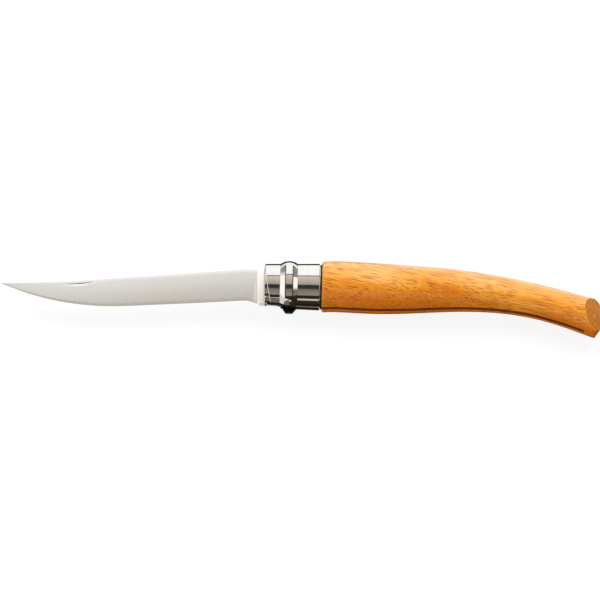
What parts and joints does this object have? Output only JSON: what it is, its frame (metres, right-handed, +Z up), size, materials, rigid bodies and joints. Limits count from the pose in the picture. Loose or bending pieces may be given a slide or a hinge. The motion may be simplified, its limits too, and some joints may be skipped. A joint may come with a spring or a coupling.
{
  "type": "folding fillet knife",
  "caption": "Slim folding fillet knife with a narrow pointed steel blade, a curved round wooden handle and a turning steel locking ring at the pivot.",
  "frame": {"origin": "centre of the open knife's outline, on the surface that it lies on", "axes": "+X along the collar from the blade's point to the handle's butt, +Y towards the blade's spine, +Z up, square to the blade's flat side"},
  "size_m": [0.2722, 0.0341, 0.0232],
  "materials": {
    "blade_steel": "satin ground",
    "handle_wood": "clear lacquered beech",
    "ferrule_steel": "polished",
    "ring_steel": "polished",
    "rivet_steel": "polished"
  },
  "bodies": {
    "handle": {"handle": "handle_wood", "fixed_ferrule": "ferrule_steel", "pivot_rivet": "rivet_steel"},
    "blade": {"blade": "blade_steel"},
    "ring": {"locking_ring": "ring_steel"}
  },
  "joints": [
    {"name": "blade_fold", "type": "hinge", "parent": "handle", "child": "blade", "pos_m": [-0.0051, 0.00503, 0.01162], "axis": [0, 0, 1], "range_deg": [0, 173]},
    {"name": "ring_turn", "type": "hinge", "parent": "handle", "child": "ring", "pos_m": [-0.0051, 0.00503, 0.01162], "axis": [1, 0, 0], "range_deg": [0, 40]}
  ]
}
